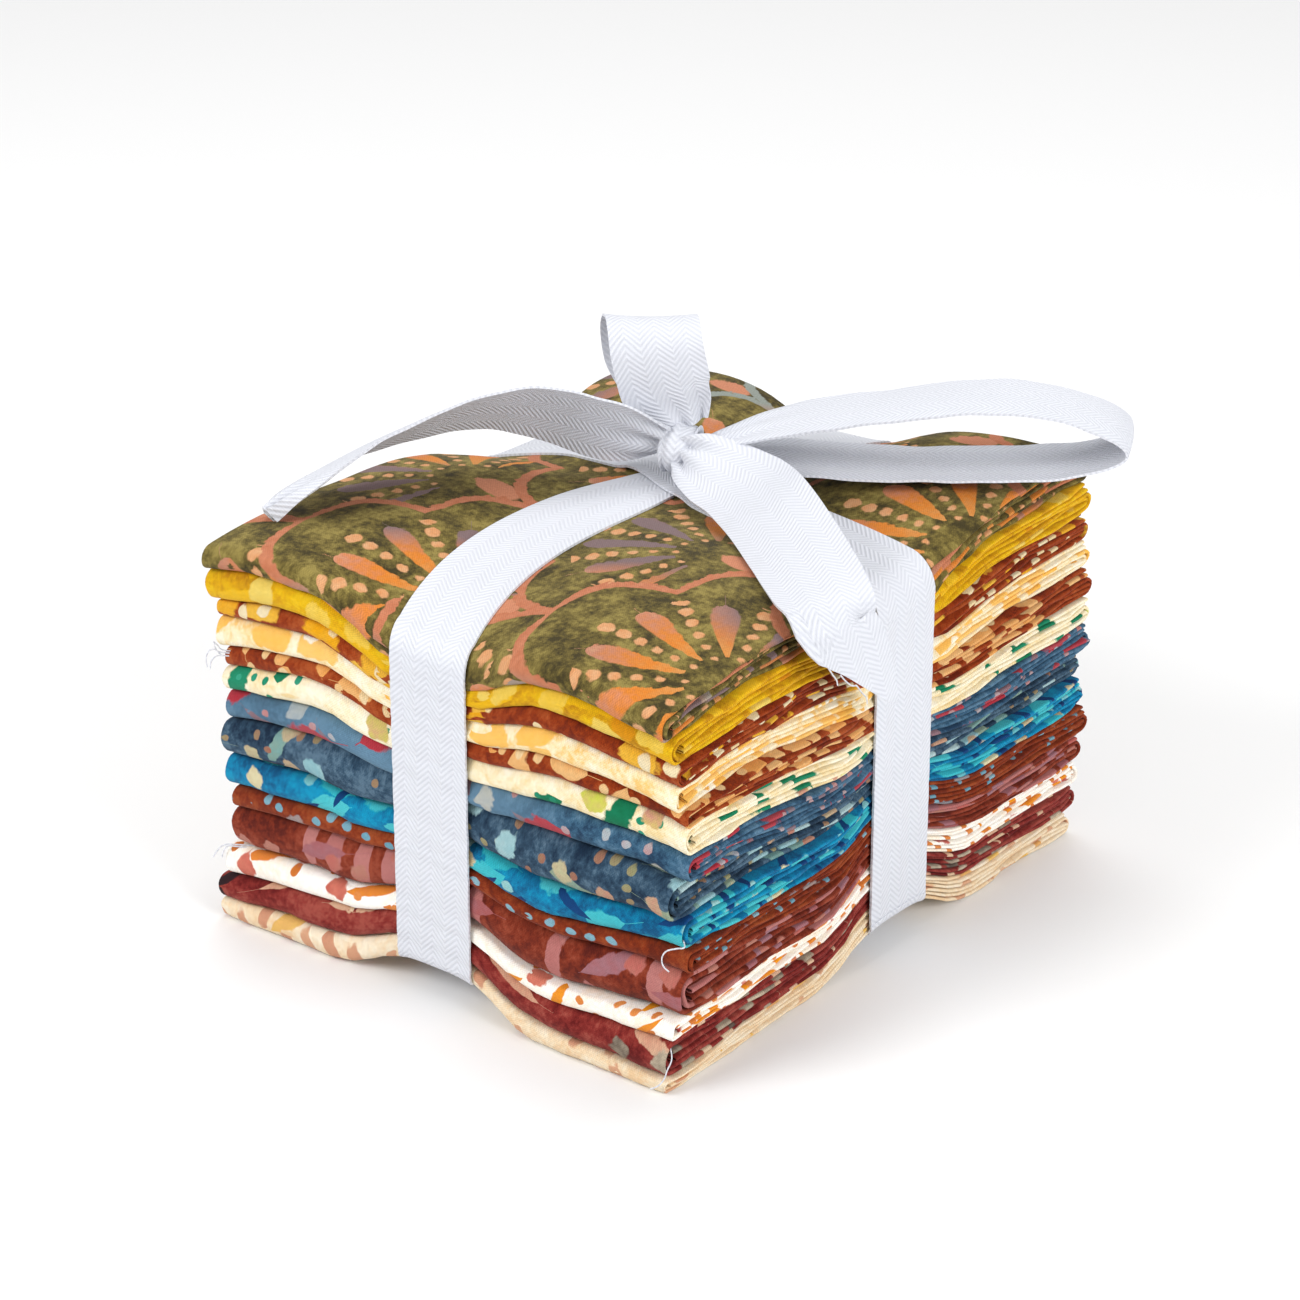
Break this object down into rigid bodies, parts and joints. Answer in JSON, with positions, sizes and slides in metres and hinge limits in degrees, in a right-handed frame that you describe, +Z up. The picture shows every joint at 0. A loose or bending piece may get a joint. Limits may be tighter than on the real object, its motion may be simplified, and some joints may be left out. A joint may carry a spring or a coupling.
{
  "type": "fat quarter bundle",
  "caption": "Stack of folded cotton fat quarters in mixed prints, tied both ways with a white twill tape finished in a bow on top.",
  "frame": {"origin": "centre of the bounding box in plan, on the surface that the bundle stands on", "axes": "+Z up, +Y from the rounded folds at the front towards the back, +X towards the side where the bow's long loop points"},
  "size_m": [0.1624, 0.1704, 0.1384],
  "materials": {
    "cream_stripe": "matte woven cotton",
    "red_rust": "matte woven cotton",
    "white_leaf": "matte woven cotton",
    "mauve_rust": "matte woven cotton",
    "blue_dot_rust": "matte woven cotton",
    "turquoise": "matte woven cotton",
    "dark_slate": "matte woven cotton",
    "slate_blue": "matte woven cotton",
    "cream_green": "matte woven cotton",
    "peach_rust": "matte woven cotton",
    "pale_yellow": "matte woven cotton",
    "gold_dot_rust": "matte woven cotton",
    "gold": "matte woven cotton",
    "olive_fan": "matte woven cotton",
    "tape_white": "matte herringbone twill"
  },
  "bodies": {
    "root": {"cream_stripe": "cream_stripe", "red_rust": "red_rust", "white_leaf": "white_leaf", "mauve_rust": "mauve_rust", "blue_dot_rust": "blue_dot_rust", "turquoise": "turquoise", "dark_slate": "dark_slate", "slate_blue": "slate_blue", "cream_green": "cream_green", "peach_rust": "peach_rust", "pale_yellow": "pale_yellow", "gold_dot_rust": "gold_dot_rust", "gold": "gold", "olive_fan": "olive_fan", "tape_front_back": "tape_white", "tape_side_side": "tape_white", "tape_knot": "tape_white", "loop_upright": "tape_white", "loop_right": "tape_white", "tail_left": "tape_white", "tail_right": "tape_white"}
  },
  "joints": []
}
